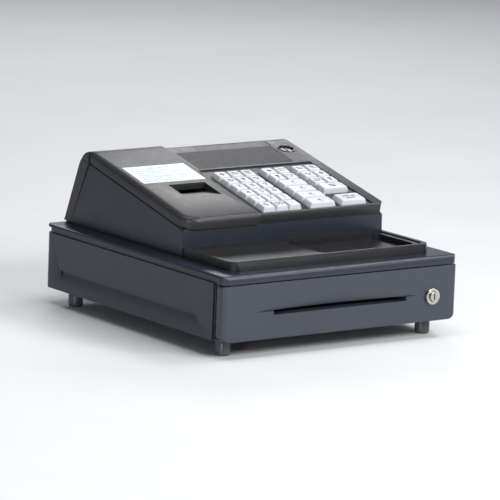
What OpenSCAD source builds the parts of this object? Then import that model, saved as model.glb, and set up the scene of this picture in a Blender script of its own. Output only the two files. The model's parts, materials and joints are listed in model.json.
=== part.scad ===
// Compact electronic cash register: a sloped head with keyboard, receipt printer and
// pop-up customer display, standing on a small cash drawer.
// Millimetres. +Z up, front faces -Y, origin on the table under the middle of the body.

/* [Drawer unit] */
// Overall width of the drawer unit
unit_w = 326; // [324:1:328]
// Overall depth of the drawer unit, front panel to rear wall
unit_d = 364; // [362:1:364]
// Height of the rubber feet
foot_h = 20; // [18:0.5:22]
// Wall thickness of the moulded case
wall = 2.5; // [2:0.1:2.8]

/* [Head] */
// Half width of the head at its base
head_hw = 140.5; // [139.5:0.5:141.5]
// Inward lean of the head's side walls over their height
side_draft = 3.5; // [2:0.5:4]

/* [Keyboard] */
// Key pitch, both ways
pitch = 18.2; // [18:0.1:18.3]
// Key width at its foot
key_w = 17.3; // [16.6:0.1:17.4]
// Key width at its top
key_top = 14.6; // [12:0.2:15]
// Height of the key tops above the panel
key_h = 5.2; // [5:0.1:6.5]
// Key travel
key_travel = 3.5; // [2.5:0.5:3.5]

/* [Customer display] */
// Width of the customer display head
cd_w = 103; // [95:1:104]
// Radius of the display pole
pole_r = 7; // [6:0.5:7]

/* [Drawer inserts] */
// Number of bill compartments
bills = 4; // [4:1:4]
// Number of coin cups
coins = 5; // [4:1:6]

/* [Hidden] */
function digits() = ["key_7","key_8","key_9","key_4","key_5","key_6","key_1","key_2","key_3","key_0","key_00","key_decimal"];

hw = unit_w/2;
yf = -180;                  // front plane
yb = yf + unit_d;           // rear plane
zb = foot_h;                // underside of the case
zseam = zb + 65;            // gap between drawer front and cover
ztop = zb + 75;             // top of the cover
fd = 16;                    // depth of the drawer front
cw = hw - 1;                // half width of the case
bx = 146;                   // half width of the drawer box
yy0 = yf + fd;              // rear face of the drawer front
zt0 = zb + 7;               // underside of the drawer box
slot_z = zb + 27;           // underside of the media slot
lock_x = 127; lock_z = zb + 29.5;
// head frame: s runs up the sloped top from its front edge, h is square to it
ang = 13.03;
hy0 = -66.6; hz0 = zb + 118.5;
function W(s,h) = [hy0 + s*cos(ang) - h*sin(ang), hz0 + s*sin(ang) + h*cos(ang)];
module tilt() translate([0,hy0,hz0]) rotate([ang,0,0]) children();
zdeck = ztop + 3;           // top of the deck plate
zplat = ztop + 11;          // top of the tray platform
col_case = [0.27,0.29,0.33]; col_dark = [0.16,0.16,0.17]; col_cover = [0.36,0.35,0.34];
col_key = [0.90,0.91,0.92]; col_steel = [0.75,0.76,0.78];

// ---------- helpers ----------
// plan shape with front corner radius rf and rear corner radius rb
module plan(w, y0, y1, rf, rb) {
  union() {
    translate([-w/2, y0+rf]) square([w, y1-y0-rf-rb]);
    if (rf > 0) { translate([-w/2+rf, y0]) square([w-2*rf, rf+0.01]);
      for (s=[-1,1]) translate([s*(w/2-rf), y0+rf]) circle(r=rf, $fn=48); }
    if (rb > 0) { translate([-w/2+rb, y1-rb-0.01]) square([w-2*rb, rb+0.01]);
      for (s=[-1,1]) translate([s*(w/2-rb), y1-rb]) circle(r=rb, $fn=48); }
  }
}
module slab(w, y0, y1, rf, rb, z0, z1) translate([0,0,z0]) linear_extrude(z1-z0) plan(w,y0,y1,rf,rb);
module xrod(r, x0, x1, y, z, fn=40) translate([x0,y,z]) rotate([0,90,0]) cylinder(r=r, h=x1-x0, $fn=fn);
module yrod(r, y0, y1, x, z, fn=40) translate([x,y0,z]) rotate([-90,0,0]) cylinder(r=r, h=y1-y0, $fn=fn);
// extrude a y-z outline along x
module yz(pts, x0, x1) translate([x0,0,0]) rotate([90,0,90]) linear_extrude(x1-x0) polygon(pts);
// extrude an x-z outline along y
module xz(pts, y0, y1) translate([0,y1,0]) rotate([90,0,0]) linear_extrude(y1-y0) polygon(pts);
module box(x0,x1,y0,y1,z0,z1) translate([x0,y0,z0]) cube([x1-x0,y1-y0,z1-z0]);

// ---------- drawer case ----------
module drawer_case() color(col_case) union() {
  yrod(5.6, yb-10, yb-wall+0.1, 60, zb+36);
  drawer_shell();
}
module drawer_shell() difference() {
  union() { slab(2*(cw-1.5), yy0+2, yy0+6, 0, 0, zb, zseam); slab(2*cw, yy0+5, yb, 0, 11, zb, zseam); }
  slab(2*(cw-wall), yy0-10, yb-wall, 0, 11-wall, zb+wall, zseam+5);
  // shallow finger grooves with a sloping lower face
  for (s=[-1,1]) scale([s,1,1]) xz([[cw+0.5,zb+15.4],[cw-1.6,zb+21.2],[cw-1.6,zb+24.4],[cw+0.5,zb+24.4]],-128,148);
  for (x=[-120,-45,45,120]) yrod(1.8, yb-6, yb+2, x, zb+56);
  for (x=[-139.5,139.5], y=[-149,150]) translate([x,y,zb-1]) cylinder(r=2.1,h=6,$fn=32);
}
// cover of the drawer unit, with its front strip and the recessed band below its edge
function arcp(cx,cy,r,a0,a1,st=15) = [for (a=[a0:(a1>a0?st:-st):a1]) [cx+r*cos(a),cy+r*sin(a)]];
module cover_env() intersection() {
  yz(concat([[yf,zb]],arcp(yf+6,ztop-6,6,180,90),arcp(yb-3,ztop-3,3,90,0),[[yb,zb]]),-200,200);
  xz(concat([[-hw,zb]],arcp(-hw+3,ztop-3,3,180,90),arcp(hw-3,ztop-3,3,90,0),[[hw,zb]]),-250,250);
}
module case_cover() color(col_case) difference() {
  intersection() { cover_env(); union() {
    box(lock_x-9,lock_x+9,-161.5,-158.2,zb+61,ztop-1);
    slab(unit_w, yf, yb, 9, 12, ztop-3.2, ztop);
    slab(unit_w-6, yf+0.01, yb-3, 7, 9, zseam, ztop-1);
    slab(unit_w, yf, yf+12, 9, 0, zseam, ztop-1);
    for (x=[-120,-45,45,120]) box(x-7,x+7,yb-wall-3.2,yb-wall-0.2,zb+50,ztop-1);
  } }
  difference() {
    slab(unit_w-12, yf+fd-2, yb-6, 0, 6, zseam-1, ztop-3);
    for (x=[-120,-45,45,120]) box(x-7,x+7,yb-8,yb,zb+40,ztop);
    box(lock_x-9,lock_x+9,-161.5,-158.2,zb,ztop);
  }
  for (x=[-120,-45,45,120]) yrod(1.45, yb-9, yb+2, x, zb+56);
}
module feet() color(col_dark) for (x=[-139.5,139.5], y=[-149,150]) translate([x,y,0]) difference() {
  union() { cylinder(r1=7.2,r2=8.6,h=2.4,$fn=48); translate([0,0,2.4]) cylinder(r=8.6,h=zb-8.4,$fn=48); translate([0,0,zb-6]) cylinder(r1=8.6,r2=7.6,h=2.6,$fn=48); translate([0,0,zb-3.4]) cylinder(r=9.4,h=3.4,$fn=48);
            translate([0,0,zb]) cylinder(r=1.9,h=wall+2,$fn=32); }
  translate([0,0,-1]) cylinder(r=2.6,h=7,$fn=32);
}
// fixed rails on the case walls with the front roller pins
rz = zb + 29.7;   // underside of the runner
module slide_rails() color(col_steel) for (s=[-1,1]) scale([s,1,1]) {
  difference() {
    union() {
      box(cw-wall-1.2, cw-wall, -161, 165, rz-9, rz+12);
      box(bx+1.5, cw-wall-0.5, -146, 165, rz-1.8, rz-0.5);
      box(bx+4, cw-wall-0.5, -146, 165, rz+9.2, rz+10.5);
      xrod(2, bx+2, cw-wall-0.5, -154, rz-6.05);
    }
  }
}
module rail_rollers() color([0.85,0.85,0.82]) for (s=[-1,1]) scale([s,1,1]) difference() {
  union() { xrod(6, bx+3, bx+9.5, -154, rz-6.05, 64); xrod(3.6, bx+9.5, bx+11, -154, rz-6.05); }
  xrod(2.06, bx+1, bx+14, -154, rz-6.05);
}
module drawer_runners() color(col_steel) for (s=[-1,1]) scale([s,1,1])
  difference() { box(bx, bx+8.5, -160, 149, rz, rz+8); box(bx+2, bx+9, -162, 151, rz+1.4, rz+6.6); }

// ---------- latch and kick spring behind the drawer ----------
lp_y = 175; lp_z = zb + 18;
module latch_solenoid() color([0.62,0.5,0.2]) union() {
  box(-52,-20,155,180.5,zb+wall,zb+wall+24);
  box(-20.01,-8,164,180.5,zb+wall,zb+wall+2);
  box(-8.01,8,164,180.5,zb+wall,zb+wall+2);
  for (x=[-8,6.5]) box(x,x+1.5,166,180.5,zb+wall+1.9,zb+24);
  yrod(7,152.4,155.1,-36,zb+wall+12);
  xrod(1.9,-8,8,lp_y,lp_z);
}
module latch_hook() color(col_steel) difference() {
  union() {
    xrod(4.2,-4.5,4.5,lp_y,lp_z);
    yz([[lp_y,lp_z-3],[lp_y,lp_z+3.4],[lp_y-16,lp_z+5],[lp_y-16,lp_z+11],[lp_y-19.4,lp_z+11],[lp_y-19.4,lp_z+1]],-4.5,4.5);
  }
  xrod(2.0,-6,6,lp_y,lp_z);
}
// kick spring: coil swept along a helix
k_turn = 5.5; k_r = 7.4; k_w = 0.75; k_n = 14; k_y0 = 153.3; k_len = 28.2;
nseg = ceil(k_turn*k_n);
function hp(i) = [60 + k_r*cos(360*i/k_n), k_y0 + k_w + (k_len-2*k_w)*i/nseg, zb + 36 + k_r*sin(360*i/k_n)];
module kick_spring() color(col_steel) {
  pts = [for (i=[0:nseg]) for (j=[0:5]) let(a=360*i/k_n, b=60*j, p=hp(i), rr=k_w*cos(b)) [p[0]+rr*cos(a), p[1]+k_w*sin(b), p[2]+rr*sin(a)]];
  side = [for (i=[0:nseg-1]) for (j=[0:5]) let(a=i*6+j, b=i*6+(j+1)%6, c=(i+1)*6+(j+1)%6, d=(i+1)*6+j) each [[a,b,c],[a,c,d]]];
  caps = [[5,4,3,2,1,0],[for (j=[0:5]) nseg*6+j]];
  polyhedron(points=pts, faces=concat(side,caps), convexity=10);
}

// ---------- drawer ----------
// slim scoop above the media slot: a large tilted drum bites into the face
sc_r = 1000; sc_t = 22.3;
module scoop_tool() intersection() {
  box(-hw-1,hw+1,yf-8,yf+9,slot_z+4.6,zseam);
  translate([-6, yf+8, slot_z+2]) rotate([sc_t,0,0]) translate([0,-sc_r,-60]) cylinder(r=sc_r,h=160,$fn=256);
}
module front_outline(grow) {
  // x-z outline with large lower corners
  r = 12; w = hw+grow; z0 = zb+0.5-grow; z1 = zseam-1.3+grow;
  union() { translate([-w,z0+r]) square([2*w,z1-z0-r-3]); translate([-w+r,z0]) square([2*w-2*r,r+0.01]); translate([-w+3,z1-3.01]) square([2*w-6,3.01]);
    for (s=[-1,1]) { translate([s*(w-r),z0+r]) circle(r=r,$fn=48); translate([s*(w-3),z1-3]) circle(r=3,$fn=32); } }
}
module drawer_front() color(col_case) difference() {
  intersection() {
    translate([0,yy0,0]) rotate([90,0,0]) linear_extrude(fd) front_outline(0);
    union() { slab(unit_w, yf, yf+12, 6, 0, zb-1, zseam+1); slab(unit_w-5, yf+11, yy0+1, 0, 0, zb-1, zseam+1); }
  }
  // hollow back
  difference() {
    box(-hw+4,hw-4,yf+9,yy0+1,zb+5,zseam-5);
    box(lock_x-14,lock_x+14,yf,yy0+2,lock_z-14,lock_z+14);
    for (x=[-bx+10,bx-10]) box(x-5,x+5,yf,yy0+2,zb,zseam);
    box(-101,101,yf,yy0+2,slot_z-3,slot_z+8);
  }
  scoop_tool();
  // media slot
  box(-94,91,yf-2,yy0+2,slot_z,slot_z+5.2);
  yrod(8.05, yf-2, yy0+2, lock_x, lock_z, 64);
}
module drawer_box() color([0.30,0.31,0.33]) difference() {
  union() {
    difference() {
      box(-bx,bx,yy0,150,zt0,zb+57);
      box(-bx+1.6,bx-1.6,yy0+1.6,148.4,zt0+1.6,zb+60);
    }
    box(-5,5,149.9,165,zb+40,zb+42); box(-5,5,163,165,zb+30.5,zb+40.01);
    // ledges that carry the two trays
    for (s=[-1,1]) scale([s,1,1]) box(bx-6,bx-1.5,-148,78,zb+19,zb+20.5);
  }
  box(-94,91,yy0-2,yy0+4,slot_z,slot_z+5.2);
  yrod(8.05, yy0-2, yy0+4, lock_x, lock_z, 64);
  box(-bx-2,bx+2,140,160,zb+50,zb+70);
}
tz0 = zb+20.5; tz1 = zb+53;      // trays: underside and rim
tw = bx-1.9;                     // half width of the trays
bw = (2*tw-2*2)/bills;           // bill compartment pitch
cr_y = 70; cr_z = zb+49;         // clip rod
module bill_tray() color(col_dark) difference() {
  box(-tw,tw,-87,79,tz0,tz1);
  for (i=[0:bills-1]) box(-tw+2+i*bw+0.8,-tw+2+(i+1)*bw-0.8,-85,77,tz0+1.8,tz1+1);
  xrod(2.03,-tw-1,tw+1,cr_y,cr_z);
  for (i=[0:bills-1]) box(-tw+2+i*bw+9,-tw+2+(i+1)*bw-9,-88,-84,tz0+10,tz1+1);
}
cp = (2*tw-2*2)/coins;
module coin_tray() color(col_dark) difference() {
  box(-tw,tw,-150,-87.6,tz0,tz1);
  for (i=[0:coins-1]) intersection() {
    box(-tw+2+i*cp+0.9,-tw+2+(i+1)*cp-0.9,-147.8,-89.8,tz0+1.6,tz1+20);
    xrod(36,-tw,tw,-118.8,tz1+5.1,96);
  }
}
module bill_clip(i) { cx = -tw+2+(i+0.5)*bw; color(col_steel) difference() {
  union() { xrod(3.6,cx-9,cx+9,cr_y,cr_z);
    yz([[cr_y-2.6,cr_z+2.4],[cr_y-2.2,cr_z-1.2],[cr_y-64,tz0+3.4],[cr_y-70,tz0+3.4],[cr_y-71,tz0+4.8],[cr_y-64,tz0+5.2]],cx-6,cx+6);
    xrod(1.5,cx-14,cx+14,cr_y-68.5,tz0+3.9); }
  xrod(2.10,cx-11,cx+11,cr_y,cr_z); } }
module clip_rod() color(col_steel) xrod(2,-tw,tw,cr_y,cr_z);
module lock_barrel() color(col_steel) difference() {
  union() { yrod(9.5, yf-3.6, yf, lock_x, lock_z, 64); yrod(8, yf-0.1, yy0+6, lock_x, lock_z, 64); }
  yrod(5.55, yf-7, yy0+8, lock_x, lock_z, 64);
}
module lock_rotor() color(col_steel) difference() {
  union() { yrod(5.5, yf-5.8, yy0+6.3, lock_x, lock_z, 64); yrod(3.5, yy0+6.2, yy0+9, lock_x, lock_z);
    box(lock_x-38,lock_x+4.5,yy0+6.8,yy0+8.8,lock_z-4.5,lock_z+4.5); }
  box(lock_x-0.8,lock_x+0.8,yf-7,yf+6,lock_z-3.6,lock_z+3.6);
}

// ---------- head ----------
// side walls lean inwards: outline shared by the housings
module lean(grow) xz([[-head_hw-grow,ztop-2],[head_hw+grow,ztop-2],[head_hw-side_draft+grow,hz0+60],[-head_hw+side_draft-grow,hz0+60]],-80,190);
module lean3(rear) { k = rear*1.7; xz([[-head_hw,ztop-2],[head_hw,ztop-2],[head_hw-side_draft+k,hz0+60],[-head_hw+side_draft-k,hz0+60]],-80,190); }
module base_deck() color(col_dark) difference() {
  union() {
    slab(2*head_hw, -66, 179, 0, 8, ztop, zdeck);
    intersection() { slab(2*head_hw-3, yf+18, -65.2, 16, 0, ztop, zplat);
      yz([[yf+17,ztop-1],[yf+18,ztop],[yf+21,zplat],[-60,zplat],[-60,ztop-1]],-150,150); }
    // socket of the display pole
    translate([cdx,cdy,zdeck-0.1]) cylinder(r=pole_r+3.4,h=51,$fn=48);
  }
  // change and pen tray
  translate([0,0,zplat-1.6]) linear_extrude(4) plan(2*head_hw-14,-155,-70,11,4);
  translate([0,0,zplat-8]) linear_extrude(12) union() {
    translate([6,-151]) square([106,77]); translate([-8,-137]) square([134,49]);
    for (x=[6,112], y=[-137,-88]) translate([x,y]) circle(r=14,$fn=48);
  }
  translate([cdx,cdy,zdeck]) cylinder(r=pole_r+0.08,h=60,$fn=64);
}
pr = W(0,-12);
rear_lo = [178,zdeck];
// rear wall: bends over into the top
rt = W(216.2,-12.15); rm = W(219.4,-24);
function ry(z) = 178 + (z-zdeck)*(rm[0]-178)/(rm[1]-zdeck);
hp_s = 194.5; hp_h = -6.2;      // printer cover hinge
rear_top = [[203.6,0.8],[207.6,-1.2],[212,-4.9],[215.1,-9],[216.2,-12],[217.6,-15.2]];
module bridge() intersection() {
  translate([0,230,0]) rotate([90,0,0]) linear_extrude(260) side_section(0, 1.3);
  union() {
    yzl(concat([[199.1,1.3]],rear_top,[[214.6,-15.2],[212.8,-11],[210.4,-7.6],[205.4,-4.6],[202.77,-3.19],[202.12,-1.8],[200.72,0.02]]),-139,-37.6);
    // closed left end, following the swing of the printer cover
    yzl(concat([[199.1,1.3]],rear_top,[[201.14,-15.2],[201.14,-12.1],[202.77,-9.21],[203.3,-6.2],[202.77,-3.19],[202.12,-1.8],[200.72,0.02]]),-139,-136.2);
  }
}
// outline of the rear moulding seen from the side, d is the gap in front of it
module rear_zone(d) yz([[167-d,zdeck-5],W(203.4-d,-24),W(203-d,-19.6),W(201.6-d,-16.2),W(199.2-d,-13.8),W(196.4-d,-12.6),W(198.5-d,-11.9),W(198.5-d,30),[260,250],[260,zdeck-5]],-170,170);
module head_shell(rear) difference() {
      intersection() { lean3(rear); yz([[-65,zdeck],[-65,hz0-12.1],rt,W(218.2,-17),rm,[178,zdeck]],-160,160); }
      intersection() { lean(-wall); yz([[-65+wall,zdeck-1],[-65+wall,pr[1]+6],W(212.4,-4),W(215.0,-17),W(216.4,-25),[ry(zdeck-1)-3,zdeck-1]],-160,160); }
      // shadow groove under the lip of the upper parts
      difference() {
        yz([W(-12,-13.6),W(-12,-10),W(230,-10),W(230,-13.6)],-170,170);
        intersection() { lean(-1.3); yz([[-63.6,zdeck],[-63.6,pr[1]+30],W(214.6,-5),W(214.6,-14),[ry(zdeck)-1.4,zdeck]],-160,160); }
      }
}
// hinge ear for the printer cover
module ear(x) { xrodl(3.1,x,x+3,hp_s,hp_h);
  yzl([[hp_s-3.0,hp_h],[hp_s,hp_h],[hp_s-2.3,hp_h-3.4],[hp_s-2.3,-15],[hp_s-9,-15],[hp_s-9,-11]],x,x+3); }
module lower_housing() color(col_case) difference() {
  union() {
    difference() { head_shell(0); rear_zone(0.3); }
    tilt() { ear(-126.8); yzl([[184,-14],[198,-14],[198,-20],[184,-20]],-137,-123.8); }
  }
  tilt() xrodl(2.06,-127.6,-123,hp_s,hp_h);
}
// rear moulding: back wall, wrapped corners and the fixed strip behind the printer cover
module rear_housing() color(col_cover) difference() {
  union() {
    intersection() { head_shell(1); rear_zone(0); }
    tilt() { bridge(); ear(-46); yzl([[184,-14],[214.8,-14],[216.6,-20],[184,-20]],-46,-43); }
  }
  tilt() xrodl(2.06,-47,-42,hp_s,hp_h);
  yrod(9.0, 150, 186, -108, zb+96);
}
module xrodl(r,x0,x1,s,h,fn=40) translate([x0,s,h]) rotate([0,90,0]) cylinder(r=r,h=x1-x0,$fn=fn);
// keyboard blocks: [x left edge, columns]
blkA = -29.5; blkB = 36.9; blkC = 80.9; s0 = 2;
module upper_housing() color(col_dark) difference() {
  union() {
    difference() {
      intersection() { lean(0.2);
        tilt() translate([0,0,-40]) linear_extrude(80) union() { translate([-60,-10]) square([190,230]); translate([-60,6]) square([210,220]); translate([130.4,6.2]) circle(r=9,$fn=48); }
        yz([W(-1.2,-12),W(-2.2,-4.4),W(-1.2,-1.4),W(0.2,-0.3),W(2,0),W(194,0),W(200.5,-0.9),W(206.5,-3.4),W(211.6,-7.2),W(214.8,-11),W(215.4,-12)],-37.5,160); }
      intersection() { lean(-wall);
        yz([W(1.3,-13),W(1.3,-4.2),W(199.5,-4.2),W(205.5,-6.6),W(210.0,-10),W(211.8,-13)],-35,160); }
    }
    // posts that carry the key guide plate
    tilt() for (p=[[-32.4,8],[-32.4,104],[122,8],[122,104],[31,57]]) translate([p[0],p[1],-7.8]) cylinder(r=2.2,h=5,$fn=32);
    tilt() translate([119,170.5,-14]) cylinder(r=12.5,h=11,$fn=48);
  }
  tilt() {
    // recessed keyboard field
    box(-34.2,125,0.6,129,-1.4,3);
    // block openings
    box(blkA-0.7,blkA+3*pitch+0.7-0.9,s0-0.9,s0+6*pitch+0.2,-8,1);
    box(blkB-0.7,blkB+2*pitch+0.7-0.9,s0-0.9,s0+6*pitch+0.2,-8,1);
    box(blkC-0.7,blkC+2*pitch+0.7-0.9,s0+2*pitch-0.9,s0+6*pitch+0.2,-8,1);
    box(blkC-0.7,blkC+2*pitch+0.7-0.9,s0-0.9,s0+22.9,-8,1);
    // display lens rebate and its window
    box(-31.2,104.2,132.8,181.2,-1.8,3); box(-24,97,139,176,-8,3);
    // mode switch
    translate([119,170.5,-20]) cylinder(r=8.6,h=30,$fn=64);
    translate([119,170.5,-1.6]) cylinder(r=11.5,h=5,$fn=64);
  }
  // slot for the customer display
  box(cdx-cd_w/2-0.5,cdx+cd_w/2+0.5,cdy-7.25,cdy+7.25,hz0,hz0+80);
}
module display_window() color([0.05,0.05,0.06]) tilt() box(-31,104,133,181,-1.8,0);
module operator_lcd() color([0.35,0.42,0.36]) tilt() union() { box(-28,101,135,178,-11,-4.2); box(-23.6,96.6,139.4,175.6,-4.21,-2.0); }
module mode_switch_rotor() color(col_steel) tilt() difference() {
  union() { translate([119,170.5,-15]) cylinder(r=8.54,h=13.8,$fn=64); translate([119,170.5,-17]) cylinder(r=10.5,h=2.6,$fn=48); }
  box(118.2,119.8,166,175,-9,0);
}
function stems() = concat(
  [for (r=[0:5]) for (c=[0:2]) [blkA+(c+0.5)*pitch-0.45, s0+(r+0.5)*pitch-0.45]],
  [for (r=[4:5]) for (c=[0:1]) [blkB+(c+0.5)*pitch-0.45, s0+(r+0.5)*pitch-0.45]],
  [for (r=[0:3]) [blkB+pitch-0.45, s0+(r+0.5)*pitch-0.45]],
  [for (r=[3:5]) for (c=[0:1]) [blkC+(c+0.5)*pitch-0.45, s0+(r+0.5)*pitch-0.45]],
  [[blkC+pitch-0.45, s0+2.5*pitch-0.45],[blkC+pitch-0.45, s0+(1.2*pitch-pitch+key_w)/2]]);
module key_guide_plate() color(col_dark) tilt() difference() {
  union() { box(-35,125.5,2,113,-10.3,-7.8); for (p=[[-32,6],[-32,109],[122.5,6],[122.5,109]]) box(p[0]-2,p[0]+2,p[1]-2,p[1]+2,-15,-10.2); }
  for (p=stems()) translate([p[0],p[1],-12]) cylinder(r=3.2,h=6,$fn=32);
}
module key_mat() color([0.55,0.57,0.60]) tilt() difference() {
  union() { box(-35,125.5,2,113,-17,-15); for (p=stems()) translate([p[0],p[1],-15.01]) cylinder(r=5.6,h=2.4,$fn=32); }
  for (p=stems()) translate([p[0],p[1],-18]) cylinder(r=3.9,h=8,$fn=32);
}
module main_board() color([0.10,0.36,0.20]) tilt() union() { box(-35,125.5,2,126,-18.6,-17);
  box(10,34,30,54,-20.8,-18.59); box(60,74,70,78,-20.4,-18.59); box(-20,0,84,100,-21.4,-18.59); box(86,108,20,34,-20.9,-18.59);
  for (p=[[50,110],[62,110],[-22,40]]) translate([p[0],p[1],-29]) cylinder(r=4,h=10.41,$fn=32); }

// ---------- keys ----------
module keytop(x0,s1,nx,ny) {   // footprint in key pitches
  w = nx*pitch-(pitch-key_w); d = ny*pitch-(pitch-key_w);
  translate([x0+w/2,s1+d/2,-4]) linear_extrude(height=3, convexity=4) square([w,d],center=true);
  translate([x0+w/2,s1+d/2,-1.01]) linear_extrude(height=key_h+1.01, scale=[(w-(key_w-key_top))/w,(d-(key_w-key_top)*0.9)/d]) square([w,d],center=true);
  translate([x0+w/2,s1+d/2,-13]) cylinder(r=3,h=9.2,$fn=32);
}
module key(x0,row,nx=1,ny=1) color(col_key) tilt() keytop(x0,s0+row*pitch,nx,ny);
module digit(i) key(blkA+(i%3)*pitch, 3-floor(i/3));
module function_keys() {
  for (r=[4:5]) for (c=[0:2]) key(blkA+c*pitch,r);
  for (r=[4:5]) for (c=[0:1]) key(blkB+c*pitch,r);
  for (r=[3:5]) for (c=[0:1]) key(blkC+c*pitch,r);
}

// ---------- printer ----------
// cross-section of the printer side: flat top, rounded shoulder, upright skirt
module side_section(g, top) polygon(concat([[-138.6+g,-16-6*g]],arcp(-132.6,top-6+g,6-g,180,90,18),[[-37.8-g,top],[-37.8-g,-16-6*g]]));
// the cover's block: side run, front run and a turned corner between them
module cover_solid(g, top) union() {
  translate([0,230,0]) rotate([90,0,0]) linear_extrude(215) side_section(g, top);
  yzl(concat([[-5+g,-16-6*g]],arcp(1,top-6+g,6-g,180,90,18),[[40,top],[40,-16-6*g]]),-118.6,-37.8-g);
  intersection() {
    translate([-118.6,15,0]) rotate_extrude($fn=96) polygon(concat([[0,-16-6*g],[20-g,-16-6*g]],arcp(14,top-6+g,6-g,0,90,18),[[0,top]]));
    box(-140,-118.59,-10,15.01,-40,10);
  }
}
// side outline of the cover; its rear end turns clear of the fixed strip
cover_rear = [[197.6,1.5],[199.26,0.6],[200.37,-0.33],[201.17,-2.35],[200.8,-3.91],[200.5,-5.14],[200.2,-6.2],[199.81,-7.62],[199,-9.35],[197.65,-10.7],[195.92,-11.51],[194.5,-11.7]];
module yzl(pts,x0,x1) translate([x0,0,0]) rotate([90,0,90]) linear_extrude(x1-x0) polygon(pts);
module printer_cover() color(col_cover) tilt() union() {
  tear_edge();
  difference() {
    union() {
      difference() {
        intersection() { cover_solid(0,1.5); yzl(concat([[-8,4],[196,4]],cover_rear,[[-8,-11.7]]),-150,0); }
        intersection() { cover_solid(2.2,-0.9); box(-150,0,-20,198,-40,10); }
        // the rear wall stops short so that it swings past the hinge ears
        box(-136.3,-40.1,189,204,-14,-9);
      }
      // paper chute around the exit
      difference() { box(-103,-49,53,95,-6.6,0.5); box(-101,-51,80,93,-8,3); }
      xrodl(2,-137.4,-122.4,hp_s,hp_h); xrodl(2,-47.6,-39.0,hp_s,hp_h);
    }
    // recess sloping down to the exit, and the exit itself
    yzl([[54.5,3],[54.5,1.5],[80,-4.6],[80,3]],-101,-51);
    box(-101,-51,79.9,93,-8,3);
    box(-128.6,-42.4,101.6,150.4,0.9,3);
  }
}
module cover_label() color([0.93,0.95,0.97]) tilt() box(-128.2,-42.8,102,150,0.9,1.45);
// serrated tear edge moulded into the cover at the back of the exit
module tear_edge() difference() {
  box(-100.6,-51.4,91.5,93.4,-5.6,0.2);
  for (i=[0:23]) translate([-100.6+2.05*(i+0.5),92.2,0.3]) rotate([90,0,0]) rotate([0,0,45]) translate([0,0,-1]) cube([1.1,1.1,2.0],center=true);
}
pm = [for (p=[[58,-46],[58,-8],[104,-8],[106,-28],[158,-28],[158,-42],[104,-46]]) p];
module printer_mechanism() color([0.30,0.31,0.33]) union() {
  box(-118,-54,3,9,zdeck,zb+88.5); box(-118,-54,36,42,zdeck,zb+96.5);
  tilt() printer_frame();
}
module printer_frame() difference() {
  union() {
    for (x=[-118,-56.2]) yzl(pm,x,x+2.2);
    box(-115.9,-56.1,60,100,-46,-22); box(-115.9,-56.1,72,78,-22.01,-14);
    xrodl(5.93,-118,-54,152,-35);
  }
  for (x=[-119,-57.2]) xrodl(2.06,x,x+4.2,88,-15);
}
module platen_roller() color([0.12,0.12,0.13]) tilt() union() {
  xrodl(2,-124,-53.2,88,-15); xrodl(5.6,-115,-57,88,-15,64);
  translate([-123.4,88,-15]) rotate([0,90,0]) linear_extrude(4) union() { circle(r=6.2,$fn=48); for (i=[0:17]) rotate(i*20) translate([6.8,0]) square([1.6,1.1],center=true); }
}
module paper_roll() color([0.96,0.96,0.94]) tilt() difference() { xrodl(27,-114.8,-57.2,152,-35,96); xrodl(6,-116,-56,152,-35,64); }

// ---------- customer display ----------
cdx = 54; cdy = 119.2;
cz0 = hz0 + 12.5; cz1 = hz0 + (cdy-hy0)*tan(ang) - 0.4;
module customer_display_head() color(col_dark) difference() {
  yz([[cdy-6.75,cz0],[cdy-6.75,cz1-6.75*tan(ang)],[cdy+6.75,cz1+6.75*tan(ang)],[cdy+6.75,cz0]],cdx-cd_w/2,cdx+cd_w/2);
  box(cdx-cd_w/2+3,cdx+cd_w/2-3,cdy+4.75,cdy+9,cz0+4,cz1-4);
  box(cdx-cd_w/2+6,cdx+cd_w/2-6,cdy-4,cdy+5,cz0+6,cz1-6);
}
module customer_display_window() color([0.05,0.05,0.06]) box(cdx-cd_w/2+3.1,cdx+cd_w/2-3.1,cdy+4.75,cdy+6.6,cz0+4.1,cz1-4.1);
module customer_display_pole() color(col_dark) union() {
  translate([cdx,cdy,zdeck+0.6]) cylinder(r=pole_r,h=cz0-zdeck-0.6,$fn=64);
}
// ---------- other internals ----------
module power_transformer() color([0.45,0.42,0.38]) union() { box(72,112,46,90,zdeck,zdeck+8); box(76,108,50,86,zdeck+7.9,zdeck+36); box(80,104,44.6,91.4,zdeck+12,zdeck+30); }
module case_screws() color(col_steel) for (x=[-120,-45,45,120]) difference() {
  union() { yrod(3.2, yb, yb+1.8, x, zb+56); yrod(1.4, yb-8, yb+0.1, x, zb+56); }
  box(x-2.2,x+2.2,yb+1,yb+3,zb+55.6,zb+56.4); box(x-0.4,x+0.4,yb+1,yb+3,zb+53.8,zb+58.2);
}
module cord_gland() color(col_dark) difference() {
  union() { yrod(8.95, 165, 181.5, -108, zb+96, 64); yrod(7.6, 181.4, 185.8, -108, zb+96, 64); }
  yrod(4, 160, 190, -108, zb+96, 64);
}

drawer_case();
case_cover();
feet();
slide_rails();
rail_rollers();
latch_solenoid();
latch_hook();
kick_spring();
drawer_front();
drawer_box();
drawer_runners();
bill_tray();
coin_tray();
bill_clip(0);  // bill_clip_1
bill_clip(1);  // bill_clip_2
bill_clip(2);  // bill_clip_3
bill_clip(3);  // bill_clip_4
clip_rod();
lock_barrel();
lock_rotor();
base_deck();
lower_housing();
rear_housing();
upper_housing();
display_window();
operator_lcd();
mode_switch_rotor();
key_guide_plate();
key_mat();
main_board();
printer_cover();
cover_label();
printer_mechanism();
platen_roller();
paper_roll();
customer_display_head();
customer_display_window();
customer_display_pole();
power_transformer();
case_screws();
cord_gland();
digit(0);  // key_7
digit(1);  // key_8
digit(2);  // key_9
digit(3);  // key_4
digit(4);  // key_5
digit(5);  // key_6
digit(6);  // key_1
digit(7);  // key_2
digit(8);  // key_3
digit(9);  // key_0
digit(10);  // key_00
digit(11);  // key_decimal
key(blkB,0,2);  // key_department_1
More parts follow.
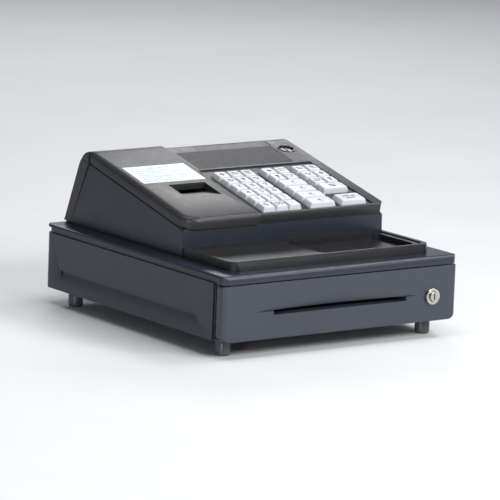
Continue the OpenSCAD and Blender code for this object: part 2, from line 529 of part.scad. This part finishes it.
key(blkB,1,2);  // key_department_2
key(blkB,2,2);  // key_department_3
key(blkB,3,2);  // key_department_4
key(blkC,2,2);  // key_subtotal
color(col_key) tilt() keytop(blkC,s0,2,1.2);  // key_cash_total
function_keys();
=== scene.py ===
# Looks for the compact cash register: camera, light, materials and the visible pieces.
import bpy, bmesh, json, math
from mathutils import Matrix, Vector


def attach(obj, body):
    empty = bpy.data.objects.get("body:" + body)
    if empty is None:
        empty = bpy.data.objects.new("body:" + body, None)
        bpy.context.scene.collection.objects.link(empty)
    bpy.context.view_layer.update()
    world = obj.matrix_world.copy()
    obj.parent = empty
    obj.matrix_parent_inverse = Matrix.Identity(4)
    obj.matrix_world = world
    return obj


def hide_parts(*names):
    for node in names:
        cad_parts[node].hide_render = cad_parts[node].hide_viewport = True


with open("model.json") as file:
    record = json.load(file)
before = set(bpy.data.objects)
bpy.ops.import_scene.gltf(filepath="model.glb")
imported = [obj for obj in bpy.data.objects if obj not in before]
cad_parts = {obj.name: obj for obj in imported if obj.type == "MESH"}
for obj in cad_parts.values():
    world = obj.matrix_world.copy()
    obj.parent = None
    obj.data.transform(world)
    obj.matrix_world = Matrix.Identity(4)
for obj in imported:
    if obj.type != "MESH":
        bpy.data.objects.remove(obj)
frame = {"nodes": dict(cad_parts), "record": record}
nodes = frame["nodes"]
rec = frame["record"]
BODY = {n: b for b, ns in rec["behaviour"]["bodies"].items() for n in ns}
SLOT = {s["node"]: s["material_slot"] for s in rec["subparts"]}
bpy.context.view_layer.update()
scene = bpy.context.scene
mm = 0.001

# ---------------------------------------------------------------- head frame
ANG = math.radians(13.03)
HY0, HZ0 = -66.6, 138.5
TILT = Matrix.Translation((0, HY0 * mm, HZ0 * mm)) @ Matrix.Rotation(ANG, 4, "X")
PITCH, KEYW = 18.2, 17.3
BLK_A, BLK_B, BLK_C, S0 = -29.5, 36.9, 80.9, 2.0


# ---------------------------------------------------------------- materials
def new_mat(name):
    m = bpy.data.materials.new(name)
    m.use_nodes = True
    nt = m.node_tree
    b = nt.nodes["Principled BSDF"]
    return m, nt, b


def coord(nt, scale=1.0, rot=None):
    tc = nt.nodes.new("ShaderNodeTexCoord")
    mp = nt.nodes.new("ShaderNodeMapping")
    mp.inputs["Scale"].default_value = (scale,) * 3 if not isinstance(scale, tuple) else scale
    if rot:
        mp.inputs["Rotation"].default_value = rot
    nt.links.new(tc.outputs["Object"], mp.inputs["Vector"])
    return mp.outputs["Vector"]


def noise(nt, vec, scale, detail=3.0, rough=0.6):
    n = nt.nodes.new("ShaderNodeTexNoise")
    n.inputs["Scale"].default_value = scale
    n.inputs["Detail"].default_value = detail
    n.inputs["Roughness"].default_value = rough
    nt.links.new(vec, n.inputs["Vector"])
    return n.outputs["Fac"]


def ramp(nt, fac, stops):
    r = nt.nodes.new("ShaderNodeValToRGB")
    cr = r.color_ramp
    while len(cr.elements) < len(stops):
        cr.elements.new(0.5)
    for e, (p, c) in zip(cr.elements, stops):
        e.position = p
        e.color = tuple(c) + (1.0,) if len(c) == 3 else c
    nt.links.new(fac, r.inputs["Fac"])
    return r.outputs["Color"]


def remap(nt, fac, lo, hi, a=0.3, b=0.7):
    m = nt.nodes.new("ShaderNodeMapRange")
    m.inputs["From Min"].default_value = a
    m.inputs["From Max"].default_value = b
    m.inputs["To Min"].default_value = lo
    m.inputs["To Max"].default_value = hi
    nt.links.new(fac, m.inputs["Value"])
    return m.outputs["Result"]


def bump(nt, b, height, strength, dist, under=None):
    n = nt.nodes.new("ShaderNodeBump")
    n.inputs["Strength"].default_value = strength
    n.inputs["Distance"].default_value = dist
    nt.links.new(height, n.inputs["Height"])
    if under is not None:
        nt.links.new(under, n.inputs["Normal"])
    nt.links.new(n.outputs["Normal"], b.inputs["Normal"])
    return n.outputs["Normal"]


def shade(c, k):
    return tuple(min(1.0, x * k) for x in c)


def plastic(name, col, rough=0.5, grain=1500.0, strength=0.25, dist=0.00012, mottle=0.10, spec=0.5, rvar=0.07):
    """Injection-moulded plastic: fine spark texture, faint tone drift and handling smears."""
    m, nt, b = new_mat(name)
    v = coord(nt)
    big = noise(nt, v, 9.0, 4.0)
    fine = noise(nt, v, grain, 2.0, 0.7)
    mid = noise(nt, v, 120.0, 3.0)
    mx = nt.nodes.new("ShaderNodeMath")
    mx.operation = "ADD"
    nt.links.new(remap(nt, big, 0.0, 0.62), mx.inputs[0])
    nt.links.new(remap(nt, fine, 0.0, 0.38), mx.inputs[1])
    c = ramp(nt, mx.outputs[0], [(0.0, shade(col, 1 - mottle)), (1.0, shade(col, 1 + mottle))])
    nt.links.new(c, b.inputs["Base Color"])
    nt.links.new(remap(nt, mid, rough - rvar, rough + rvar), b.inputs["Roughness"])
    b.inputs["Specular IOR Level"].default_value = spec
    bump(nt, b, fine, strength, dist)
    return m


def metal(name, col, rough=0.25, stretch=(1, 1, 1), grain=900.0, strength=0.1, dist=0.00004, metallic=1.0):
    m, nt, b = new_mat(name)
    v = coord(nt, tuple(stretch))
    f = noise(nt, v, grain, 3.0)
    g = noise(nt, v, 30.0, 3.0)
    c = ramp(nt, g, [(0.25, shade(col, 0.88)), (0.75, shade(col, 1.06))])
    nt.links.new(c, b.inputs["Base Color"])
    b.inputs["Metallic"].default_value = metallic
    nt.links.new(remap(nt, f, rough * 0.75, rough * 1.3), b.inputs["Roughness"])
    bump(nt, b, f, strength, dist)
    return m


def gloss(name, col, rough=0.08, spec=0.5, coat=0.0, mottle=0.05):
    m, nt, b = new_mat(name)
    v = coord(nt)
    f = noise(nt, v, 60.0, 3.0)
    c = ramp(nt, f, [(0.2, shade(col, 1 - mottle)), (0.8, shade(col, 1 + mottle))])
    nt.links.new(c, b.inputs["Base Color"])
    nt.links.new(remap(nt, noise(nt, v, 400.0, 2.0), rough * 0.7, rough * 1.5), b.inputs["Roughness"])
    b.inputs["Specular IOR Level"].default_value = spec
    b.inputs["Coat Weight"].default_value = coat
    b.inputs["Coat Roughness"].default_value = 0.04
    bump(nt, b, noise(nt, v, 90.0, 1.0), 0.05, 0.0001)
    return m


M = {}
M["case_plastic"] = plastic("case_plastic", (0.014, 0.018, 0.029), 0.36, 1700, 0.14, rvar=0.05)
# front_plastic is the case navy made about 2.3 times lighter: painted light for the lit front face
M["front_plastic"] = plastic("front_plastic", (0.034, 0.041, 0.058), 0.37, 1700, 0.16, rvar=0.05)
M["cover_plastic"] = plastic("cover_plastic", (0.031, 0.030, 0.031), 0.36, 1500, 0.18, spec=0.4, rvar=0.05)
M["panel_plastic"] = plastic("panel_plastic", (0.027, 0.027, 0.030), 0.38, 1500, 0.22, rvar=0.05)
M["deck_plastic"] = plastic("deck_plastic", (0.013, 0.013, 0.015), 0.37, 1500, 0.18, spec=0.35, rvar=0.05)
M["tray_plastic"] = plastic("tray_plastic", (0.018, 0.018, 0.019), 0.38, 1200, 0.18)
M["inner_plastic"] = plastic("inner_plastic", (0.020, 0.020, 0.022), 0.5, 900, 0.2)
M["pole_plastic"] = plastic("pole_plastic", (0.016, 0.016, 0.018), 0.33, 1300, 0.12)
M["painted_sheet"] = plastic("painted_sheet", (0.022, 0.023, 0.026), 0.42, 2600, 0.40, 0.00008)
M["keycap"] = gloss("keycap", (0.58, 0.583, 0.615), 0.32, 0.45, 0.12, 0.04)
M["smoked_lens"] = plastic("smoked_lens", (0.010, 0.010, 0.012), 0.42, 1700, 0.04, 0.00005, 0.06, 0.22, 0.03)
M["switch_plastic"] = gloss("switch_plastic", (0.020, 0.020, 0.022), 0.24, 0.5, 0.2)
M["lcd"] = gloss("lcd", (0.20, 0.24, 0.18), 0.2)
M["label_film"] = gloss("label_film", (0.60, 0.68, 0.76), 0.28, 0.4, 0.1, 0.10)
M["lock_chrome"] = metal("lock_chrome", (0.52, 0.495, 0.45), 0.20, (1, 1, 1), 600, 0.06)
M["zinc_steel"] = metal("zinc_steel", (0.62, 0.62, 0.60), 0.34, (1, 0.06, 1), 1500, 0.12)
M["spring_steel"] = metal("spring_steel", (0.56, 0.56, 0.57), 0.26, (0.1, 1, 1), 1200, 0.08)
M["nylon"] = plastic("nylon", (0.72, 0.70, 0.64), 0.42, 800, 0.10, 0.0001, 0.05)
M["coil"] = plastic("coil", (0.30, 0.13, 0.035), 0.35, 500, 0.25, 0.0002, 0.2)
M["transformer"] = metal("transformer", (0.22, 0.21, 0.20), 0.5, (1, 1, 8), 500, 0.3, 0.0002)
M["circuit_board"] = plastic("circuit_board", (0.012, 0.11, 0.05), 0.3, 300, 0.2, 0.0002, 0.25)
M["silicone"] = plastic("silicone", (0.22, 0.235, 0.26), 0.6, 900, 0.15)
M["platen_rubber"] = plastic("platen_rubber", (0.014, 0.014, 0.015), 0.75, 1100, 0.3)
M["rubber_foot"] = plastic("rubber_foot", (0.075, 0.078, 0.088), 0.34, 900, 0.14)
M["gland_rubber"] = plastic("gland_rubber", (0.012, 0.012, 0.014), 0.65, 900, 0.28)
M["paper"] = plastic("paper", (0.80, 0.79, 0.75), 0.85, 2600, 0.30, 0.00005, 0.03, 0.2)

mark_dark, nt_, b_ = new_mat("legend_ink")
b_.inputs["Roughness"].default_value = 0.55
_c = ramp(nt_, noise(nt_, coord(nt_), 300.0), [(0.3, (0.050, 0.040, 0.038)), (0.7, (0.085, 0.066, 0.060))])
nt_.links.new(_c, b_.inputs["Base Color"])
mark_pale, nt_, b_ = new_mat("label_ink")
b_.inputs["Roughness"].default_value = 0.5
_c = ramp(nt_, noise(nt_, coord(nt_), 200.0), [(0.3, (0.20, 0.33, 0.42)), (0.7, (0.36, 0.46, 0.52))])
nt_.links.new(_c, b_.inputs["Base Color"])


# ---------------------------------------------------------------- shells
def dup(node, width, weight=None, mat=None, segs=3, name=None, dissolve=0.004, sharp=28.0, second=None):
    """A copy of a CAD shell with the small radii a moulding has. Same faces, same place."""
    src = nodes[node]
    me = src.data.copy()
    ob = bpy.data.objects.new(name or node + "_skin", me)
    scene.collection.objects.link(ob)
    bm = bmesh.new()
    bm.from_mesh(me)
    bmesh.ops.remove_doubles(bm, verts=bm.verts, dist=3e-6)
    bmesh.ops.dissolve_limit(bm, angle_limit=dissolve, verts=bm.verts[:], edges=bm.edges[:], delimit=set())
    lay = bm.edges.layers.float.new("bevel_weight_edge")
    lim = math.radians(sharp)
    for e in bm.edges:
        e.smooth = True
        if len(e.link_faces) == 2:
            a = e.calc_face_angle(0.0)
            if a > lim:
                w = 1.0 if weight is None else weight(e)
                e[lay] = w
                if w <= 0.0:
                    e.smooth = False
    inv = TILT.inverted()
    for f in bm.faces:
        f.smooth = True
        # faces picked by the second mask take the second material; it is used only for painted recess shade
        if second is not None and second[1](inv @ f.calc_center_median(), f.calc_center_median()):
            f.material_index = 1
    bm.to_mesh(me)
    bm.free()
    if me.has_custom_normals:
        try:
            me.attributes.remove(me.attributes["custom_normal"])
        except Exception:
            pass
    me.materials.clear()
    me.materials.append(mat or M[SLOT[node]])
    if second is not None:
        me.materials.append(second[0])
    bv = ob.modifiers.new("edge_radius", "BEVEL")
    bv.limit_method = "WEIGHT"
    bv.width = width
    bv.segments = segs
    bv.use_clamp_overlap = True
    bv.harden_normals = True
    bv.miter_outer = "MITER_SHARP"
    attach(ob, BODY[node])
    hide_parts(node)
    return ob


for n, o in nodes.items():
    o.data.materials.clear()
    o.data.materials.append(M[SLOT[n]])

ZTOP = 0.095          # top of the drawer unit's cover
INV = TILT.inverted()
# painted shade: a near-black material laid on recess faces in place of the shadow there
painted_recess_shade = plastic("painted_recess_shade", (0.004, 0.004, 0.005), 0.7, 900, 0.2)


def tl(v):
    return INV @ v


def w_cover(e):      # drawer unit cover: soft upper outline, crisp lower one
    return 1.0 if min(v.co.z for v in e.verts) > ZTOP - 0.0035 else 0.35


def w_front(e):
    return 1.0 if max(v.co.y for v in e.verts) < -0.1785 else 0.3


def w_pcover(e):
    p = [tl(v.co) for v in e.verts]
    return 0.35 if all(-0.1045 < q.x < -0.0465 and 0.05 < q.y < 0.097 for q in p) else 1.0


def w_rear(e):       # broad radius down the wrapped back corners
    a, b = (v.co for v in e.verts)
    if abs(a.z - b.z) > 0.03 and a.y > 0.14 and b.y > 0.14:
        return 1.0
    return 0.2


SPECIAL = {
    "case_cover": dict(weight=w_cover),
    "drawer_front": dict(weight=w_front),
    # the printer cover's paper exit recess faces get painted shade for the shadow inside it
    "printer_cover": dict(weight=w_pcover, second=(painted_recess_shade, lambda t, c: -0.1015 < t.x < -0.0505 and 0.0795 < t.y < 0.0945 and t.z < 0.0004)),
    "rear_housing": dict(weight=w_rear, segs=5),
    # the front neck of the case sides behind the drawer front gets painted shade for the dark recess
    "drawer_case": dict(second=(painted_recess_shade, lambda t, c: abs(c.x) > 0.158 and c.y < -0.1578 and c.z > 0.022)),
}
for n, w in {"drawer_case": 0.0009, "case_cover": 0.0012, "drawer_front": 0.0020, "base_deck": 0.0013,
             "lower_housing": 0.0008, "rear_housing": 0.0040, "upper_housing": 0.0009, "printer_cover": 0.0007,
             "customer_display_head": 0.0006, "lock_barrel": 0.0008, "lock_rotor": 0.0005,
             "mode_switch_rotor": 0.0004, "feet": 0.0009, "cord_gland": 0.0008, "case_screws": 0.0003,
             "drawer_box": 0.0005, "coin_tray": 0.0006, "bill_tray": 0.0006, "display_window": 0.0004,
             "customer_display_window": 0.0003, "cover_label": 0.0001, "drawer_runners": 0.0003,
             "slide_rails": 0.0003}.items():
    dup(n, w, **SPECIAL.get(n, {}))


# ---------------------------------------------------------------- keys
def rr(w, d, r, n=6):
    pts = []
    for cx, cy, a0 in ((w / 2 - r, d / 2 - r, 0), (-w / 2 + r, d / 2 - r, 90), (-w / 2 + r, -d / 2 + r, 180), (w / 2 - r, -d / 2 + r, 270)):
        for i in range(n + 1):
            a = math.radians(a0 + 90 * i / n)
            pts.append((cx + r * math.cos(a), cy + r * math.sin(a)))
    return pts


def loft(bm, rings, cap_lo=True, cap_hi=True):
    vs = [[bm.verts.new(p) for p in ring] for ring in rings]
    n = len(vs[0])
    for a, b in zip(vs, vs[1:]):
        for i in range(n):
            bm.faces.new((a[i], a[(i + 1) % n], b[(i + 1) % n], b[i]))
    if cap_lo:
        bm.faces.new(list(reversed(vs[0])))
    if cap_hi:
        bm.faces.new(vs[-1])


def mesh_obj(name, bm, mat, body, smooth=True):
    me = bpy.data.meshes.new(name)
    bmesh.ops.recalc_face_normals(bm, faces=bm.faces[:])
    for f in bm.faces:
        f.smooth = smooth
    bm.to_mesh(me)
    bm.free()
    me.transform(TILT)
    me.update()
    o = bpy.data.objects.new(name, me)
    scene.collection.objects.link(o)
    for m in (mat if isinstance(mat, list) else [mat]):
        me.materials.append(m)
    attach(o, body)
    return o


def text_mesh(txt, size):
    cu = bpy.data.curves.new("t", "FONT")
    cu.body = txt
    cu.size = size
    cu.align_x = "CENTER"
    cu.align_y = "CENTER"
    cu.resolution_u = 3
    ob = bpy.data.objects.new("t", cu)
    scene.collection.objects.link(ob)
    bpy.context.view_layer.update()
    me = bpy.data.meshes.new_from_object(ob.evaluated_get(bpy.context.evaluated_depsgraph_get()))
    bpy.data.objects.remove(ob)
    return me


clear, nt_, b_ = new_mat("clear_cap")
b_.inputs["Base Color"].default_value = (0.97, 0.97, 1.0, 1)
b_.inputs["Transmission Weight"].default_value = 1.0
b_.inputs["IOR"].default_value = 1.45
nt_.links.new(remap(nt_, noise(nt_, coord(nt_), 350.0), 0.03, 0.09), b_.inputs["Roughness"])


def key_piece(bm, cx, cs, w, d, legend, li, rnd):
    """one key: skirt, tapered body, crowned and slightly dished top, and the stem below"""
    tw, td = w - 2.7, d - 2.43
    rings = []
    for h, k, r in ((-4.0, 0.0, 0.8), (-1.0, 0.0, 0.8), (0.0, 0.12, 0.9), (3.3, 0.74, 1.3), (4.3, 0.93, 1.6)):
        ww, dd = w + (tw - w) * k, d + (td - d) * k
        rings.append([((cx + x) * mm, (cs + y) * mm, h * mm) for x, y in rr(ww, dd, r)])
    for h, ins in ((4.8, 0.22), (5.08, 0.6), (5.16, 1.1)):
        rings.append([((cx + x) * mm, (cs + y) * mm, h * mm) for x, y in rr(tw - 2 * ins, td - 2 * ins, 1.3)])
    rings.append([((cx + x) * mm, (cs + y) * mm, 5.10 * mm) for x, y in rr(tw - 5.0, td - 5.0, 0.9)])
    loft(bm, rings)
    # stem
    st = [[((cx + 3 * math.cos(a)) * mm, (cs + 3 * math.sin(a)) * mm, h * mm) for a in [2 * math.pi * i / 24 for i in range(24)]] for h in (-13.0, -4.0)]
    loft(bm, st)


def bar(bm, cx, cs, w, d, h, t=0.05):
    rings = [[((cx + x) * mm, (cs + y) * mm, z * mm) for x, y in rr(w, d, min(w, d) * 0.3, 2)] for z in (h - t, h)]
    loft(bm, rings)


def legend_for(bm, cx, cs, kind):
    """generic legend: a figure, or short printed strokes"""
    top = 5.19
    if isinstance(kind, str):
        me = text_mesh(kind, 0.0112)
        me.transform(Matrix.Translation((cx * mm, cs * mm, top * mm)))
        bm.from_mesh(me)
    else:
        for (x, y, w, d) in kind:
            bar(bm, cx + x, cs + y, w, d, top, 0.06)


DASH2 = [(-1.6, 2.2, 5.4, 1.8), (3.6, 2.2, 2.6, 1.8), (-0.6, -1.8, 8.0, 1.8)]
DASH1 = [(-2.2, 1.6, 4.4, 1.8), (2.8, 1.6, 2.8, 1.8), (0, -2.4, 4.6, 1.8)]
PLUS = [(0, 0, 7.0, 1.9), (0, 0, 1.9, 7.0)]
UP = [(0, -0.6, 1.9, 6.8), (0, 2.0, 5.0, 1.6), (0, 3.4, 3.0, 1.3)]
CROSS = [(0, 3.1, 8.0, 1.6), (-0.8, 0.2, 6.0, 1.6), (0.6, -2.8, 7.0, 1.6)]

KEYS = []
for i, (k, t) in enumerate([("key_7", "7"), ("key_8", "8"), ("key_9", "9"), ("key_4", "4"), ("key_5", "5"), ("key_6", "6"),
                            ("key_1", "1"), ("key_2", "2"), ("key_3", "3"), ("key_0", "0"), ("key_00", "00"), ("key_decimal", [(0, -1.2, 1.5, 1.5)])]):
    KEYS.append((k, BLK_A + (i % 3) * PITCH, S0 + (3 - i // 3) * PITCH, 1, 1, t))
for r in range(4):
    KEYS.append(("key_department_%d" % (r + 1), BLK_B, S0 + r * PITCH, 2, 1, [(0, -3.6, 7.0, 0.9), (0, 1.2, 3.6, 2.6)]))
KEYS.append(("key_subtotal", BLK_C, S0 + 2 * PITCH, 2, 1, DASH2))
KEYS.append(("key_cash_total", BLK_C, S0, 2, 1.2, [(-4, 2.6, 9, 1.8), (6, 2.6, 5, 1.8), (0, -2.4, 13, 1.8)]))


def build_key(node, items):
    bm, bl = bmesh.new(), bmesh.new()
    for x0, s1, nx, ny, lg in items:
        w, d = nx * PITCH - (PITCH - KEYW), ny * PITCH - (PITCH - KEYW)
        cx, cs = x0 + w / 2, s1 + d / 2
        key_piece(bm, cx, cs, w, d, lg, 0, 0)
        legend_for(bl, cx, cs, lg)
    o = mesh_obj(node + "_cap", bm, M["keycap"], BODY[node])
    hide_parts(node)
    l = mesh_obj(node + "_legend", bl, mark_dark, BODY[node], smooth=False)
    return o


for k, x0, s1, nx, ny, lg in KEYS:
    build_key(k, [(x0, s1, nx, ny, lg)])
FN = []
leg = [DASH2, UP, DASH1, PLUS, DASH2, CROSS]
i = 0
for r in (4, 5):
    for c in range(3):
        FN.append((BLK_A + c * PITCH, S0 + r * PITCH, 1, 1, leg[i % 6])); i += 1
for r in (4, 5):
    for c in range(2):
        FN.append((BLK_B + c * PITCH, S0 + r * PITCH, 1, 1, leg[(i + 1) % 6])); i += 1
for r in (3, 4, 5):
    for c in range(2):
        FN.append((BLK_C + c * PITCH, S0 + r * PITCH, 1, 1, leg[(i + 2) % 6])); i += 1
build_key("function_keys", FN)

# ring and position ticks round the mode switch
bm = bmesh.new()
prof = [(8.75, -1.6), (8.75, 0.15), (9.1, 0.55), (10.6, 0.55), (11.3, 0.1), (11.35, -1.6)]
N = 64
rings = []
for r, h in prof:
    rings.append([((119 + r * math.cos(2 * math.pi * i / N)) * mm, (170.5 + r * math.sin(2 * math.pi * i / N)) * mm, h * mm) for i in range(N)])
vs = [[bm.verts.new(q) for q in ring] for ring in rings]
for a, b in zip(vs, vs[1:] + vs[:1]):
    for i in range(N):
        bm.faces.new((a[i], a[(i + 1) % N], b[(i + 1) % N], b[i]))
mesh_obj("switch_ring", bm, M["switch_plastic"], "base")
bm = bmesh.new()
for a in (150, 120, 90, 60, 30):
    bar(bm, 119 + 13.6 * math.cos(math.radians(a)), 170.5 + 13.6 * math.sin(math.radians(a)), 1.0, 1.0, 0.04, 0.05)
mesh_obj("switch_ticks", bm, M["label_film"], "base", smooth=False)

# label marks: rows of faint generic strokes and a small table
bm = bmesh.new()
for row, (y, segs) in enumerate([(142, [(-122, 14), (-100, 26)]), (136.5, [(-122, 30), (-84, 12)]), (131, [(-122, 9), (-106, 22), (-76, 16)]),
                                 (124, [(-122, 20), (-94, 9)]), (118.5, [(-122, 12), (-104, 28), (-70, 12)]), (113, [(-122, 26), (-90, 14)]), (107.5, [(-122, 16), (-98, 24)])]):
    for x, w in segs:
        bar(bm, x + w / 2, y, w, 1.5, 1.49, 0.03)
mesh_obj("label_marks", bm, mark_pale, "cover", smooth=False)

# ---------------------------------------------------------------- camera
cam_d = bpy.data.cameras.new("cam")
cam = bpy.data.objects.new("cam", cam_d)
scene.collection.objects.link(cam)
scene.camera = cam
loc = Vector((-2.75734, -3.83080, 0.96661))
tgt = Vector((0.0, 0.0, 0.0815))
q = (tgt - loc).to_track_quat("-Z", "Y")
cam.rotation_mode = "QUATERNION"
cam.rotation_quaternion = q @ Matrix.Rotation(math.radians(2.1), 4, "Z").to_quaternion()
cam.location = loc
cam_d.sensor_width = 36.0
cam_d.lens = 300.0
cam_d.clip_start, cam_d.clip_end = 0.1, 60.0

# ---------------------------------------------------------------- floor and light
fm, nt_, b_ = new_mat("floor")
_c = ramp(nt_, noise(nt_, coord(nt_), 4.0, 4.0), [(0.3, (0.78, 0.78, 0.78)), (0.7, (0.82, 0.82, 0.82))])
nt_.links.new(_c, b_.inputs["Base Color"])
b_.inputs["Roughness"].default_value = 0.65
bpy.ops.mesh.primitive_plane_add(size=30, location=(0, 0, 0))
floor = bpy.context.object
floor.name = "floor"
floor.data.materials.append(fm)

w = bpy.data.worlds.new("studio")
scene.world = w
w.use_nodes = True
bg = w.node_tree.nodes["Background"]
# a soft studio dome graded by height only: brightest overhead, dimmest at middle elevation, a little brighter towards
# the horizon and below
tc = w.node_tree.nodes.new("ShaderNodeTexCoord")
sp = w.node_tree.nodes.new("ShaderNodeSeparateXYZ")
w.node_tree.links.new(tc.outputs["Generated"], sp.inputs[0])
rmp = w.node_tree.nodes.new("ShaderNodeValToRGB")
mr = w.node_tree.nodes.new("ShaderNodeMapRange")
mr.inputs["From Min"].default_value = -0.1
mr.inputs["From Max"].default_value = 1.0
w.node_tree.links.new(sp.outputs["Z"], mr.inputs["Value"])
w.node_tree.links.new(mr.outputs["Result"], rmp.inputs["Fac"])
els = rmp.color_ramp.elements
els[0].position, els[0].color = 0.0, (0.50, 0.55, 0.66, 1)
els[1].position, els[1].color = 1.0, (0.75, 0.78, 0.82, 1)
e = els.new(0.45)
e.color = (0.42, 0.45, 0.52, 1)
w.node_tree.links.new(rmp.outputs["Color"], bg.inputs["Color"])
bg.inputs["Strength"].default_value = 0.36


def area(name, loc, size, power, target=(0, 0, 0.1), col=(1, 1, 1)):
    l = bpy.data.lights.new(name, "AREA")
    l.shape = "RECTANGLE"
    l.size, l.size_y = size
    l.energy = power
    l.color = col
    o = bpy.data.objects.new(name, l)
    scene.collection.objects.link(o)
    o.location = loc
    o.rotation_mode = "QUATERNION"
    o.rotation_quaternion = (Vector(target) - Vector(loc)).to_track_quat("-Z", "Y")
    return o


area("key", (0.6, -2.3, 1.5), (1.6, 0.9), 62, col=(0.97, 0.98, 1.0))
area("top", (-0.5, -0.3, 2.5), (1.6, 1.2), 20)
area("high_right", (1.35, -0.42, 2.0), (1.3, 0.7), 20, col=(0.95, 0.97, 1.0))
area("left_strip", (-2.3, -1.67, 0.30), (0.30, 0.5), 13.0, target=(0, -0.1, 0.06), col=(0.92, 0.96, 1.0))
area("rim", (1.3, 2.4, 1.5), (1.6, 0.5), 16, target=(0, 0, 0.15))

scene.view_settings.view_transform = "Standard"
scene.view_settings.look = "None"
scene.view_settings.exposure = 0.0
